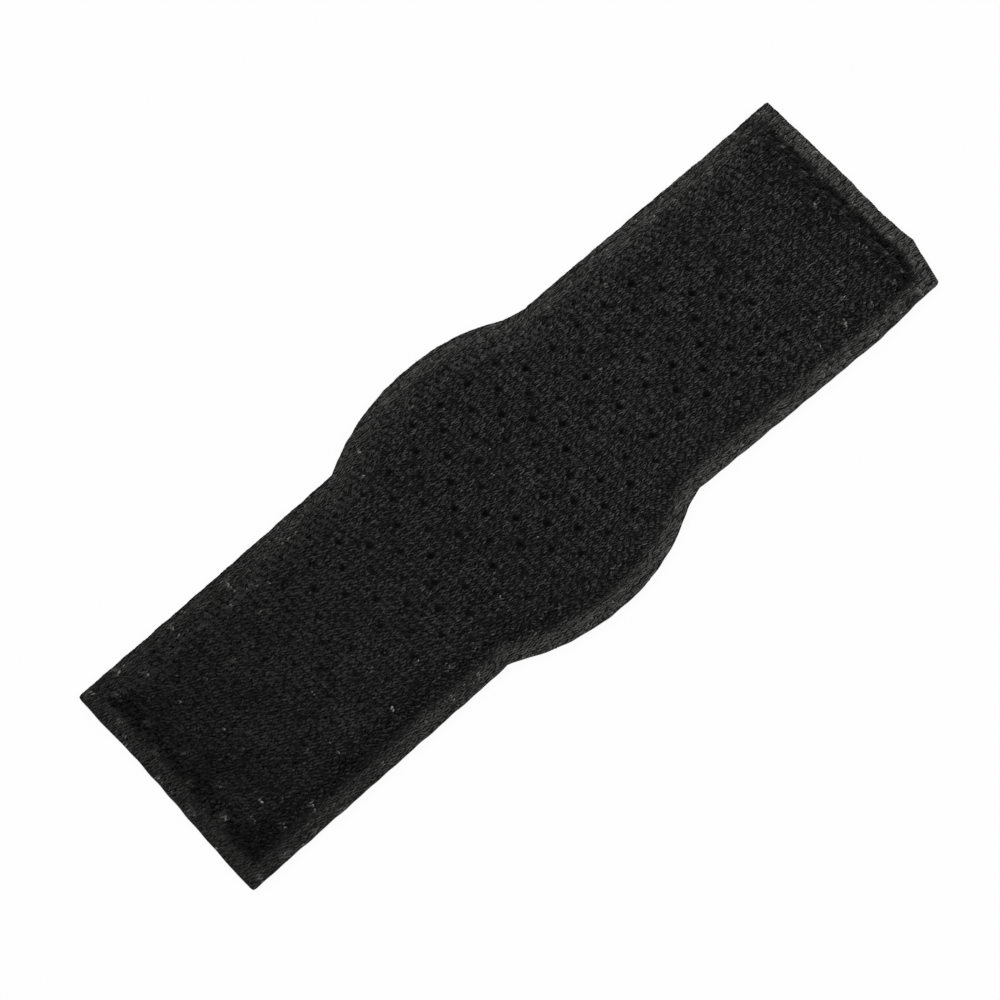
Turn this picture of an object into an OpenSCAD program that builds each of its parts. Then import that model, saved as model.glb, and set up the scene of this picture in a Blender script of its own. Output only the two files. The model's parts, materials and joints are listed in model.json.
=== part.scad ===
// Padded wrist splint band: a flat pad with a knitted mesh face, a welded rim and a round, stiffened middle.
// Six flex lines cut it into seven lengths, so that both wings can wrap a wrist laid on the mesh face.
// Millimetres; +X runs along the band, +Z out of the mesh face, and the origin is under the middle of the back.

/* [Outline] */

// Length of the band from end to end
band_length = 128; // [112:1:150]
// Width of the two wings
band_width = 36; // [30:1:44]
// How far the round middle stands out past each long side
lobe_rise = 4.5; // [2:0.5:8]
// Length along the band over which the middle stands out
lobe_length = 36; // [30:1:42]

/* [Layers] */

// Thickness of the loop cloth on the back
loop_thickness = 0.6; // [0.4:0.1:1.2]
// Thickness of the foam sheet
foam_thickness = 1.6; // [1.2:0.1:3]
// Height of the pile that holds the knitted face off the foam
pile_thickness = 1.8; // [1:0.1:3]
// Thickness of the knitted face
knit_thickness = 0.6; // [0.4:0.1:1]

/* [Welded rim] */

// Width of the flat rim, where the face is pressed onto the loop cloth
rim_width = 2.6; // [1.6:0.1:4]
// Thickness of the pressed face along the rim
rim_knit_thickness = 0.7; // [0.4:0.1:1]
// Width of the slope from the rim up to the flat top
shoulder_width = 3.4; // [2.5:0.1:4.5]
// How far the filling stops short of the rim
filling_inset = 0.5; // [0.4:0.1:1]

/* [Eyelets] */

// Width of an eyelet across its corners
eyelet_width = 1.1; // [0.7:0.1:1.4]
// Distance between eyelets along a row
eyelet_pitch = 4.75; // [4.4:0.05:6.5]
// Distance from one row of eyelets to the next
eyelet_row_pitch = 3.2; // [2.4:0.1:5]
// How far the rows are shifted across the band
eyelet_row_shift = 2.2; // [-2.5:0.1:2.5]

/* [Splint plate] */

// Least distance from the round plate to the edge of the filling
plate_margin = 3.4; // [2:0.1:6]
// Thickness of the plate
plate_thickness = 0.8; // [0.5:0.1:1]
// Gap round the plate in the foam
plate_clearance = 0.2; // [0.1:0.05:0.5]

/* [Flex lines] */

// Least distance from the round middle to the first flex line
flex_margin = 4; // [2:0.5:7]
// Slit between one length and the next
flex_gap = 0.4; // [0.3:0.05:0.6]

/* [Hidden] */

$fn = 96;

KNIT_BLACK = [0.10, 0.10, 0.11];
PILE_BLACK = [0.06, 0.06, 0.07];
FOAM_GREY = [0.22, 0.22, 0.24];
LOOP_BLACK = [0.13, 0.13, 0.14];
PLATE_WHITE = [0.82, 0.83, 0.82];

// Straight steps that draw the curve of the shoulder
shoulder_steps = 6;
// Lengths that each wing is cut into
wing_lengths = 3;
// How far a cutting shape runs past what it cuts
overcut = 1;
// Least distance from an eyelet to a slit or to the slope
eyelet_edge = 0.3;

foam_z = loop_thickness + foam_thickness;
pile_z = foam_z + pile_thickness;
crown_z = pile_z + knit_thickness;
rim_z = loop_thickness + rim_knit_thickness;

half_length = band_length / 2;
half_width = band_width / 2;
lobe_half = half_width + lobe_rise;
lobe_radius = (pow(lobe_length / 2, 2) + pow(lobe_rise, 2)) / (2 * lobe_rise);
lobe_centre_y = lobe_half - lobe_radius;

// The flex lines run midway between two columns of eyelets, which are half a pitch apart.
column_step = eyelet_pitch / 2;
first_column = ceil((lobe_length / 2 + flex_margin) / column_step - 0.5);
root_flex_x = (first_column + 0.5) * column_step;
flex_step = round((half_length - root_flex_x) / wing_lengths / column_step) * column_step;
mid_flex_x = root_flex_x + flex_step;
tip_flex_x = mid_flex_x + flex_step;

middle_end = root_flex_x - flex_gap / 2;
root_span = [root_flex_x + flex_gap / 2, mid_flex_x - flex_gap / 2];
mid_span = [mid_flex_x + flex_gap / 2, tip_flex_x - flex_gap / 2];
tip_span = [tip_flex_x + flex_gap / 2, half_length];

// A profile is a list of [distance in from the edge, height], from the edge to the flat top.
function shoulder(from_edge, low_z, high_z) = [
  for (i = [0 : shoulder_steps])
    let (t = i / shoulder_steps)
    [from_edge + shoulder_width * t, low_z + (high_z - low_z) * (1 - cos(180 * t)) / 2]
];
face_profile = concat([[0, 0], [0, rim_z]], shoulder(rim_width, rim_z, crown_z));
filling_edge = rim_width + filling_inset;
filling_profile = concat([[filling_edge, 0]], shoulder(filling_edge, loop_thickness, pile_z));
loop_profile = [[0, 0], [0, loop_thickness]];

plate_radius = min(lobe_half - filling_edge, middle_end) - plate_margin;

// The profile on both sides of a strip whose edges lie at plus and minus half.
function both_sides(profile, half) = concat(
  [for (p = profile) [p[0] - half, p[1]]],
  [for (i = [len(profile) - 1 : -1 : 0]) [half - profile[i][0], profile[i][1]]]
);

// The profile as half of a round pad, with its edge at the given radius.
function round_section(profile, radius) = concat(
  [for (p = profile) [radius - p[0], p[1]]],
  [[0, profile[len(profile) - 1][1]], [0, 0]]
);

// How far a point lies in from the nearest edge of the outline.
function band_edge_distance(x, y) = min(half_width - abs(y), half_length - abs(x));
function lobe_edge_distance(x, y) = lobe_radius - norm([x, abs(y) - lobe_centre_y]);
function edge_distance(x, y) = max(band_edge_distance(x, y), lobe_edge_distance(x, y));

// A straight piece of the pad from x = span[0] to span[1].
module strip(profile, span) {
  translate([span[0], 0, 0])
    rotate([90, 0, 90])
      linear_extrude(span[1] - span[0])
        polygon(both_sides(profile, half_width));
}

// The pad as its two ends shape it, far wider than the band.
module end_slopes(profile) {
  rotate([90, 0, 0])
    linear_extrude(2 * band_width, center = true)
      polygon(both_sides(profile, half_length));
}

// The two round sides of the middle.
module lobes(profile) {
  for (side = [0, 1])
    mirror([0, side, 0])
      intersection() {
        translate([0, lobe_centre_y, 0])
          rotate_extrude()
            polygon(round_section(profile, lobe_radius));
        translate([-middle_end, 0, -overcut])
          cube([2 * middle_end, lobe_half + overcut, crown_z + 2 * overcut]);
      }
}

module middle_pad(profile) {
  strip(profile, [-middle_end, middle_end]);
  lobes(profile);
}

module wing_pad(profile, span) {
  intersection() {
    strip(profile, span);
    end_slopes(profile);
  }
}

module on_left() {
  mirror([1, 0, 0])
    children();
}

// All that lies between two heights.
module between(low_z, high_z) {
  translate([-band_length, -band_width, low_z])
    cube([2 * band_length, 2 * band_width, high_z - low_z]);
}

// Six-sided holes on the flat top from x = span[0] to span[1]; every other row is shifted half a pitch.
module eyelets(span) {
  clear = eyelet_width / 2 + eyelet_edge;
  rows = ceil(lobe_half / eyelet_row_pitch) + 1;
  columns = ceil(half_length / eyelet_pitch);
  for (row = [-rows : rows], column = [-columns : columns]) {
    x = (column + (abs(row) % 2) / 2) * eyelet_pitch;
    y = row * eyelet_row_pitch + eyelet_row_shift;
    on_flat_top = edge_distance(x, y) >= rim_width + shoulder_width + clear;
    if (on_flat_top && x >= span[0] + clear && x <= span[1] - clear)
      translate([x, y, pile_z - overcut / 2])
        cylinder(h = knit_thickness + overcut, d = eyelet_width, $fn = 6);
  }
}

// The knitted face over the filling, pressed flat along the rim; its children are the pad and the filling.
module face_knit(span) {
  color(KNIT_BLACK)
    difference() {
      children(0);
      children(1);
      between(-overcut, loop_thickness);
      eyelets(span);
    }
}

module face_knit_middle() {
  face_knit([-middle_end, middle_end]) {
    middle_pad(face_profile);
    middle_pad(filling_profile);
  }
}

module face_knit_wing(span) {
  face_knit(span) {
    wing_pad(face_profile, span);
    wing_pad(filling_profile, span);
  }
}

module spacer_pile() {
  color(PILE_BLACK)
    intersection() {
      children();
      between(foam_z, pile_z + overcut);
    }
}

module spacer_pile_middle() {
  spacer_pile()
    middle_pad(filling_profile);
}

module spacer_pile_wing(span) {
  spacer_pile()
    wing_pad(filling_profile, span);
}

module foam() {
  color(FOAM_GREY)
    intersection() {
      children();
      between(loop_thickness, foam_z);
    }
}

// The room for the plate in the underside of the foam.
module plate_recess() {
  translate([0, 0, loop_thickness - overcut])
    cylinder(h = plate_thickness + overcut, r = plate_radius + plate_clearance);
}

module foam_middle() {
  difference() {
    foam()
      middle_pad(filling_profile);
    plate_recess();
  }
}

module foam_wing(span) {
  foam()
    wing_pad(filling_profile, span);
}

module loop_cloth_middle() {
  color(LOOP_BLACK)
    middle_pad(loop_profile);
}

module loop_cloth_wing(span) {
  color(LOOP_BLACK)
    strip(loop_profile, span);
}

// The stiff round plate, on the loop cloth and under the foam.
module splint_plate() {
  color(PLATE_WHITE)
    translate([0, 0, loop_thickness])
      cylinder(h = plate_thickness, r = plate_radius);
}

face_knit_middle();
on_left() face_knit_wing(root_span);  // face_knit_left_root
on_left() face_knit_wing(mid_span);  // face_knit_left_mid
on_left() face_knit_wing(tip_span);  // face_knit_left_tip
face_knit_wing(root_span);  // face_knit_right_root
face_knit_wing(mid_span);  // face_knit_right_mid
face_knit_wing(tip_span);  // face_knit_right_tip
spacer_pile_middle();
on_left() spacer_pile_wing(root_span);  // spacer_pile_left_root
on_left() spacer_pile_wing(mid_span);  // spacer_pile_left_mid
on_left() spacer_pile_wing(tip_span);  // spacer_pile_left_tip
spacer_pile_wing(root_span);  // spacer_pile_right_root
spacer_pile_wing(mid_span);  // spacer_pile_right_mid
spacer_pile_wing(tip_span);  // spacer_pile_right_tip
foam_middle();
on_left() foam_wing(root_span);  // foam_left_root
on_left() foam_wing(mid_span);  // foam_left_mid
on_left() foam_wing(tip_span);  // foam_left_tip
foam_wing(root_span);  // foam_right_root
foam_wing(mid_span);  // foam_right_mid
foam_wing(tip_span);  // foam_right_tip
loop_cloth_middle();
on_left() loop_cloth_wing(root_span);  // loop_cloth_left_root
on_left() loop_cloth_wing(mid_span);  // loop_cloth_left_mid
on_left() loop_cloth_wing(tip_span);  // loop_cloth_left_tip
loop_cloth_wing(root_span);  // loop_cloth_right_root
loop_cloth_wing(mid_span);  // loop_cloth_right_mid
loop_cloth_wing(tip_span);  // loop_cloth_right_tip
splint_plate();
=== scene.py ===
"""Looks of a wrist splint band: knitted mesh face, welded rim, foam, loop cloth and splint plate.

Sizes are millimetres in the band's own frame, and become metres when a mesh is finished.
"""

import json
import logging
import math
from collections.abc import Callable
from dataclasses import dataclass
from enum import Enum

import bmesh
import bpy
import numpy as np
from mathutils import Matrix, Vector

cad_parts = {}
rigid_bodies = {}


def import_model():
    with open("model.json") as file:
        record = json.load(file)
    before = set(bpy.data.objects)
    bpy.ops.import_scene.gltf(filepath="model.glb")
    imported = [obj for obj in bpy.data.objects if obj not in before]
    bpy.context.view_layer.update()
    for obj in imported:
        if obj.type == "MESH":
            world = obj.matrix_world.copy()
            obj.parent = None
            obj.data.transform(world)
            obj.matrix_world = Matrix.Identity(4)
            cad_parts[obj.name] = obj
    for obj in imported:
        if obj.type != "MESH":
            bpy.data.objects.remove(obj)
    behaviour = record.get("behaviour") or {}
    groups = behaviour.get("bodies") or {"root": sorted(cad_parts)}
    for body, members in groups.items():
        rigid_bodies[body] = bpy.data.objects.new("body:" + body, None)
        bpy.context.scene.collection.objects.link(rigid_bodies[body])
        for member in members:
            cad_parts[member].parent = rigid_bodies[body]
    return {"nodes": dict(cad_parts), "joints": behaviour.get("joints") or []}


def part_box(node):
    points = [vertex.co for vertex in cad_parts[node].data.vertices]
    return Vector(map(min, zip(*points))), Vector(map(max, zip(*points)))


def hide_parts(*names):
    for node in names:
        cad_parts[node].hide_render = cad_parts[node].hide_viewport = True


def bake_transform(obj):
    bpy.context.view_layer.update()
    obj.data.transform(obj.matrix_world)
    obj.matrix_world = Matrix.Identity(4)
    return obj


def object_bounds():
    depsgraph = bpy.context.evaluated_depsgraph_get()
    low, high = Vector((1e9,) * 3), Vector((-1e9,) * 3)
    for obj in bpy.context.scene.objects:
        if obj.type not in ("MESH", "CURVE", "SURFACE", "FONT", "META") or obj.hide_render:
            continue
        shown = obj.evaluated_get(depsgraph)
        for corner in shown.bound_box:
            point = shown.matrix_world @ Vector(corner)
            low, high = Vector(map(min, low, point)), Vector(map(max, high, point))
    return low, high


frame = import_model()
CAD_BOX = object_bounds()

LOG = logging.getLogger("wrist_splint")
MM = 0.001
SEED = 20

Array = np.ndarray
Attributes = dict[str, Array]
Placed = tuple[Array, Attributes]
# Pairs of a place and the value there.
Table = tuple[tuple[float, float], ...]

# Fixed numbers that make scatter() look random.
SCATTER_TURNS = (12.9898, 78.233)
SCATTER_SCALE = 43758.5453
# The waves that ripple() adds up: share of x, share of y and phase.
RIPPLE_WAVES = ((1.0, 0.31, 0.0), (-0.42, 0.83, 1.7), (0.57, 0.71, 4.1))
# Height in a drawn slab that parts its underside from its top.
SLAB_MIDDLE = 0.5
# Edges of a slab that turn further than this look sharp.
SHARP_TURN = math.pi / 4.0
# Keeps a division away from zero.
TINY = 0.001
WHITE = (1.0, 1.0, 1.0, 1.0)


def smoothstep(low: float, high: float, value: Array) -> Array:
    """Share that goes smoothly from 0 at low to 1 at high."""
    share = np.clip((value - low) / (high - low), 0.0, 1.0)
    return share * share * (3.0 - 2.0 * share)


def read_table(table: Table, place: Array) -> Array:
    """Reads values off a table, in straight lines from pair to pair."""
    return np.interp(place, *zip(*table))


def scatter(a: Array, b: Array) -> Array:
    """A fixed share from 0 to 1 that looks random, for each pair of numbers."""
    return np.abs(np.sin(a * SCATTER_TURNS[0] + b * SCATTER_TURNS[1]) * SCATTER_SCALE) % 1.0


def ripple(x: Array, y: Array, length: float) -> Array:
    """A smooth wandering value from about -1 to 1, with waves of about that length in millimetres."""
    turn = 2.0 * math.pi / length
    return sum(np.sin(turn * (a * x + b * y) + phase) for a, b, phase in RIPPLE_WAVES) / len(RIPPLE_WAVES)


def linear_colour(hex_code: str) -> tuple[float, float, float, float]:
    """Turns an sRGB hex colour into linear red, green, blue and alpha.

    Args:
        hex_code: Colour as "#RRGGBB".

    Returns:
        Linear channels from 0 to 1, with alpha 1.
    """
    shares = [int(hex_code[i : i + 2], 16) / 255.0 for i in (1, 3, 5)]
    red, green, blue = (c / 12.92 if c <= 0.04045 else ((c + 0.055) / 1.055) ** 2.4 for c in shares)
    return red, green, blue, 1.0


def add_node(
    tree: bpy.types.NodeTree, kind: str, inputs: dict | None = None, **settings: object
) -> bpy.types.Node:
    """Adds one node with its settings, socket values and links.

    Args:
        tree: Node tree that gets the node.
        kind: Blender's name for the node type.
        inputs: Socket name or number to a value, or to the output socket that feeds it.
        **settings: Properties of the node itself.

    Returns:
        The new node.
    """
    node = tree.nodes.new(kind)
    for name, value in settings.items():
        setattr(node, name, value)
    for key, value in (inputs or {}).items():
        if isinstance(value, bpy.types.NodeSocket):
            tree.links.new(value, node.inputs[key])
        else:
            node.inputs[key].default_value = value
    return node


def new_material(name: str) -> tuple[bpy.types.Material, bpy.types.NodeTree, bpy.types.Node]:
    """Makes an empty node material.

    Args:
        name: Name of the real material and how it was made.

    Returns:
        The material, its node tree and its output node.
    """
    material = bpy.data.materials.new(name)
    material.use_nodes = True
    tree = material.node_tree
    tree.nodes.clear()
    return material, tree, add_node(tree, "ShaderNodeOutputMaterial")


class Layer(Enum):
    """The layers of the pad, by the CAD name that each one's nodes start with."""

    KNIT = "face_knit"
    PILE = "spacer_pile"
    FOAM = "foam"
    LOOP = "loop_cloth"


class Slot(Enum):
    """The record's material slots."""

    KNIT = "mesh_knit"
    PILE = "mesh_pile"
    FOAM = "foam"
    LOOP = "loop_cloth"


@dataclass(frozen=True)
class KnitYarn:
    """Black polyester multifilament yarn, warp knitted and heat set."""

    # Bundles of fine drawn filaments: near black, with a dull gleam along each strand, painted as a lighter
    # tone on its ridge.
    # Heat and pressure flatten them along the rim, where they look greyer. The glint colour is for painted
    # highlights.
    deep: str = "#0A0A0A"
    light: str = "#686867"
    pressed: str = "#646362"
    glint: str = "#B8B8B5"
    # A filament is about 0.02 mm; it is drawn five times as wide, so that it shows.
    filament: float = 0.10
    filament_run: float = 1.4

    def material(self) -> bpy.types.Material:
        """Builds the yarn's node material.

        Returns:
            The material.
        """
        material, tree, output = new_material("polyester_yarn_warp_knitted")
        colour = linear_colour(self.deep)
        # The tone share holds the yarn's own random tone, with painted shade and the painted gleam on the
        # ridges; the glint share holds painted highlights and the soft grey spots of half-welded eyelets.
        for attribute, tint in (("tone", self.light), ("pressed", self.pressed), ("glint", self.glint)):
            share = add_node(tree, "ShaderNodeAttribute", attribute_name=attribute).outputs["Fac"]
            colour = add_node(tree, "ShaderNodeMix", {
                0: share, 6: colour, 7: linear_colour(tint),
            }, data_type="RGBA").outputs[2]
        place = add_node(tree, "ShaderNodeTexCoord").outputs["Object"]
        along = 1.0 / (self.filament_run * MM)
        across = 1.0 / (self.filament * MM)
        stretched = add_node(tree, "ShaderNodeMapping", {
            "Vector": place, "Scale": (along, across, across),
        }).outputs["Vector"]
        strands = add_node(tree, "ShaderNodeTexNoise", {
            "Vector": stretched, "Scale": 1.0, "Detail": 1.0,
        }).outputs["Fac"]
        bump = add_node(tree, "ShaderNodeBump", {
            "Height": strands, "Strength": 0.45, "Distance": 0.03 * MM,
        }).outputs["Normal"]
        shader = add_node(tree, "ShaderNodeBsdfPrincipled", {
            "Base Color": colour, "Roughness": 0.5, "IOR": 1.58, "Specular IOR Level": 0.06, "Normal": bump,
        })
        tree.links.new(shader.outputs[0], output.inputs[0])
        return material


@dataclass(frozen=True)
class SpacerGround:
    """Inside of the black spacer mesh: upright monofilament pile, fused to a film at the welded rim."""

    # Little light comes back from between the fibres, and almost none from the pits under the eyelets: the
    # pit colour there is painted shade.
    # Where the weld melted it, it sets as a dull grey film that catches the light.
    pile: str = "#0F0F0F"
    dust: str = "#1A1A1A"
    pit: str = "#0B0B0B"
    film: str = "#2E2E2D"
    fibre: float = 0.25

    def material(self) -> bpy.types.Material:
        """Builds the ground's node material.

        Returns:
            The material.
        """
        material, tree, output = new_material("polyester_spacer_pile_heat_welded")
        place = add_node(tree, "ShaderNodeTexCoord").outputs["Object"]
        fibres = add_node(tree, "ShaderNodeTexNoise", {
            "Vector": place, "Scale": 1.0 / (self.fibre * MM), "Detail": 2.0,
        }).outputs["Fac"]
        fused = add_node(tree, "ShaderNodeAttribute", attribute_name="fused").outputs["Fac"]
        pitted_and_shaded = add_node(tree, "ShaderNodeAttribute", attribute_name="pitted_and_shaded").outputs["Fac"]
        colour = linear_colour(self.pile)
        for share, tint in ((fibres, self.dust), (pitted_and_shaded, self.pit), (fused, self.film)):
            colour = add_node(tree, "ShaderNodeMix", {
                0: share, 6: colour, 7: linear_colour(tint),
            }, data_type="RGBA").outputs[2]
        rough = add_node(tree, "ShaderNodeMapRange", {
            "Value": fused, "To Min": 0.9, "To Max": 0.4,
        }).outputs["Result"]
        bump = add_node(tree, "ShaderNodeBump", {
            "Height": fibres, "Strength": 0.6, "Distance": 0.1 * MM,
        }).outputs["Normal"]
        shader = add_node(tree, "ShaderNodeBsdfPrincipled", {
            "Base Color": colour, "Roughness": rough, "IOR": 1.58, "Specular IOR Level": 0.06, "Normal": bump,
        })
        tree.links.new(shader.outputs[0], output.inputs[0])
        return material


@dataclass(frozen=True)
class LoopYarn:
    """Black nylon loop pile, brushed and left uncut."""

    # Soft, matt and slightly fuzzy, a little lighter where the loops stand up.
    deep: str = "#131315"
    light: str = "#2C2C2F"
    fuzz: float = 0.2

    def material(self) -> bpy.types.Material:
        """Builds the loop cloth's node material.

        Returns:
            The material.
        """
        material, tree, output = new_material("nylon_loop_pile_brushed")
        place = add_node(tree, "ShaderNodeTexCoord").outputs["Object"]
        fuzz = add_node(tree, "ShaderNodeTexNoise", {
            "Vector": place, "Scale": 1.0 / (self.fuzz * MM), "Detail": 3.0,
        }).outputs["Fac"]
        colour = add_node(tree, "ShaderNodeMix", {
            0: fuzz, 6: linear_colour(self.deep), 7: linear_colour(self.light),
        }, data_type="RGBA").outputs[2]
        bump = add_node(tree, "ShaderNodeBump", {
            "Height": fuzz, "Strength": 0.7, "Distance": 0.08 * MM,
        }).outputs["Normal"]
        shader = add_node(tree, "ShaderNodeBsdfPrincipled", {
            "Base Color": colour, "Roughness": 0.85, "IOR": 1.53, "Specular IOR Level": 0.2,
            "Sheen Weight": 0.1, "Sheen Roughness": 0.5, "Normal": bump,
        })
        tree.links.new(shader.outputs[0], output.inputs[0])
        return material


@dataclass(frozen=True)
class FoamCells:
    """Charcoal polyurethane foam, slab cut."""

    # An open, matt, finely pitted face.
    wall: str = "#3B3B3F"
    cell: str = "#1C1C1E"
    cell_size: float = 0.5

    def material(self) -> bpy.types.Material:
        """Builds the foam's node material.

        Returns:
            The material.
        """
        material, tree, output = new_material("polyurethane_foam_slab_cut")
        place = add_node(tree, "ShaderNodeTexCoord").outputs["Object"]
        cells = add_node(tree, "ShaderNodeTexVoronoi", {
            "Vector": place, "Scale": 1.0 / (self.cell_size * MM),
        }).outputs["Distance"]
        colour = add_node(tree, "ShaderNodeMix", {
            0: cells, 6: linear_colour(self.cell), 7: linear_colour(self.wall),
        }, data_type="RGBA").outputs[2]
        bump = add_node(tree, "ShaderNodeBump", {
            "Height": cells, "Strength": 0.8, "Distance": 0.2 * MM,
        }).outputs["Normal"]
        shader = add_node(tree, "ShaderNodeBsdfPrincipled", {
            "Base Color": colour, "Roughness": 0.95, "IOR": 1.5, "Normal": bump,
        })
        tree.links.new(shader.outputs[0], output.inputs[0])
        return material


@dataclass(frozen=True)
class MouldedPlate:
    """Natural white polypropylene sheet, die cut."""

    # Waxy and slightly clouded, with a fine matt texture from the rollers.
    face: str = "#D4D5D0"
    cloud: str = "#C3C5C1"
    cloud_size: float = 6.0
    texture: float = 0.3

    def material(self) -> bpy.types.Material:
        """Builds the plate's node material.

        Returns:
            The material.
        """
        material, tree, output = new_material("polypropylene_sheet_rolled")
        place = add_node(tree, "ShaderNodeTexCoord").outputs["Object"]
        clouds = add_node(tree, "ShaderNodeTexNoise", {
            "Vector": place, "Scale": 1.0 / (self.cloud_size * MM),
        }).outputs["Fac"]
        grain = add_node(tree, "ShaderNodeTexNoise", {
            "Vector": place, "Scale": 1.0 / (self.texture * MM),
        }).outputs["Fac"]
        colour = add_node(tree, "ShaderNodeMix", {
            0: clouds, 6: linear_colour(self.face), 7: linear_colour(self.cloud),
        }, data_type="RGBA").outputs[2]
        bump = add_node(tree, "ShaderNodeBump", {
            "Height": grain, "Strength": 0.2, "Distance": 0.05 * MM,
        }).outputs["Normal"]
        shader = add_node(tree, "ShaderNodeBsdfPrincipled", {
            "Base Color": colour, "Roughness": 0.45, "IOR": 1.49, "Normal": bump,
        })
        tree.links.new(shader.outputs[0], output.inputs[0])
        return material


@dataclass(frozen=True)
class Finishes:
    """The finished materials, made once and shared by all pieces."""

    yarn: bpy.types.Material
    ground: bpy.types.Material
    loop: bpy.types.Material
    foam: bpy.types.Material
    plate: bpy.types.Material

    @classmethod
    def make(cls) -> "Finishes":
        """Builds every finish once.

        Returns:
            All the finishes.
        """
        return cls(
            yarn=KnitYarn().material(),
            ground=SpacerGround().material(),
            loop=LoopYarn().material(),
            foam=FoamCells().material(),
            plate=MouldedPlate().material(),
        )


@dataclass(frozen=True)
class PadForm:
    """Outline and heights of the pad in millimetres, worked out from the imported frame."""

    half_length: float
    half_width: float
    lobe_half: float
    loop_z: float
    foam_z: float
    crown_z: float
    plate_radius: float
    plate_z: float
    lobe_length: float = 36.0
    rim_z: float = 1.3
    rim_width: float = 2.6
    rim_fall: float = 0.35
    shoulder_width: float = 3.4
    filling_inset: float = 0.5
    weld_groove: float = 0.1
    weld_groove_width: float = 0.5
    # How far to each side a height is taken to find the slope.
    normal_step: float = 0.15
    # Half the stretch over which an end gives way to a long side, and the lower half to the upper one.
    end_blend: float = 0.5
    half_blend: float = 4.0
    # How light the rim is made along the band, darkest at the left end and lightest at the right end: (x,
    # share).
    rim_lightness: Table = ((-64.0, 0.3), (-56.0, 0.5), (0.0, 0.66), (58.0, 0.6), (61.0, 0.92))
    # The rim along the upper long side is made a little darker than along the lower one.
    upper_rim_dimming: float = 0.36
    # The pressed look ends sharply at the two ends, and fades out over the slopes of the long sides:
    # from how far outside the rim's inner edge to how far inside it.
    end_fade: tuple[float, float] = (0.5, -0.05)
    upper_fade: tuple[float, float] = (0.9, 1.3)
    lower_fade: tuple[float, float] = (0.9, 0.3)
    # How far the hand-cut edges lie inside the drawn ones: (x, inset) for the two long edges,
    # (y, inset) for the ends.
    upper_inset: Table = (
        (-62.0, 0.35), (-40.0, 0.35), (-18.0, 0.12), (-10.0, 0.0), (4.0, 0.25), (10.0, 0.5),
        (14.5, 1.1), (18.5, 0.1), (30.0, 0.17), (54.0, 0.5), (64.0, 0.4),
    )
    lower_inset: Table = (
        (-19.0, 0.0), (-17.0, 0.2), (-10.0, 0.0), (2.0, 0.05), (10.0, 0.5), (15.0, 1.25),
        (19.0, 0.75), (30.0, 0.36), (40.0, 0.0), (52.0, -0.35), (60.0, 0.05),
    )
    left_inset: Table = ((-18.0, -0.1), (-13.0, -0.2), (-5.0, 0.0), (6.0, 0.27), (13.0, 0.07), (18.0, 0.1))
    right_inset: Table = (
        (-18.0, 1.2), (-15.0, 0.42), (-11.0, -0.5), (-8.5, -0.2), (-6.0, -0.07), (4.0, -0.07),
        (11.0, 0.12), (15.5, 0.25), (18.0, 0.3),
    )
    # Length over which the wandering of an end fades out towards the middle.
    end_reach: float = 12.0
    corner_radius: float = 0.4
    # Cut yarn ends stand out from the edge all round.
    edge_fuzz: float = 0.06
    edge_wobble: float = 0.07
    wobble_length: float = 3.1

    @classmethod
    def from_frame(cls) -> "PadForm":
        """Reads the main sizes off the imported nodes.

        Returns:
            The form of the pad.
        """
        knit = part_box(f"{Layer.KNIT.value}_middle")[1] / MM
        return cls(
            half_length=CAD_BOX[1].x / MM,
            half_width=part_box(f"{Layer.LOOP.value}_left_tip")[1].y / MM,
            lobe_half=knit.y,
            loop_z=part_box(f"{Layer.LOOP.value}_middle")[1].z / MM,
            foam_z=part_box(f"{Layer.FOAM.value}_middle")[1].z / MM,
            crown_z=knit.z,
            plate_radius=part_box("splint_plate")[1].x / MM,
            plate_z=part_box("splint_plate")[1].z / MM,
        )

    @property
    def lobe_radius(self) -> float:
        """Radius of the two round sides of the middle."""
        rise = self.lobe_half - self.half_width
        return ((self.lobe_length / 2.0) ** 2 + rise**2) / (2.0 * rise)

    @property
    def filling_edge(self) -> float:
        """How far in from the outline the filling starts."""
        return self.rim_width + self.filling_inset

    def half_width_at(self, x: Array) -> Array:
        """Half the pad's width at each place along it."""
        lobe = np.sqrt(np.maximum(self.lobe_radius**2 - x * x, 0.0)) + self.lobe_half - self.lobe_radius
        return np.maximum(lobe, self.half_width)

    def edge_distance(self, x: Array, y: Array) -> Array:
        """How far each point lies in from the nearest edge of the outline."""
        band = np.minimum(self.half_width - np.abs(y), self.half_length - np.abs(x))
        return np.maximum(band, self.lobe_radius - np.hypot(x, np.abs(y) - self.lobe_half + self.lobe_radius))

    def face_height(self, x: Array, y: Array) -> Array:
        """Height of the knitted face: flat rim, weld groove, curved slope and flat top.

        Args:
            x: Places along the band.
            y: Places across the band.

        Returns:
            The height at each place.
        """
        inside = self.edge_distance(x, y)
        share = np.clip((inside - self.rim_width) / self.shoulder_width, 0.0, 1.0)
        height = self.rim_z + (self.crown_z - self.rim_z) * (1.0 - np.cos(math.pi * share)) / 2.0
        groove = np.exp(-(((inside - self.rim_width) / self.weld_groove_width) ** 2))
        fall = self.rim_fall * np.clip(1.0 - inside / self.rim_width, 0.0, 1.0)
        return height - self.weld_groove * groove - fall

    def foam_height(self, x: Array, y: Array) -> Array:
        """Height of the top of the foam, which thins out to nothing before the rim.

        Args:
            x: Places along the band.
            y: Places across the band.

        Returns:
            The height at each place.
        """
        slope_end = self.filling_edge + self.shoulder_width / 2.0
        share = smoothstep(self.filling_edge, slope_end, self.edge_distance(x, y))
        return self.loop_z + (self.foam_z - self.loop_z) * share

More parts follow.
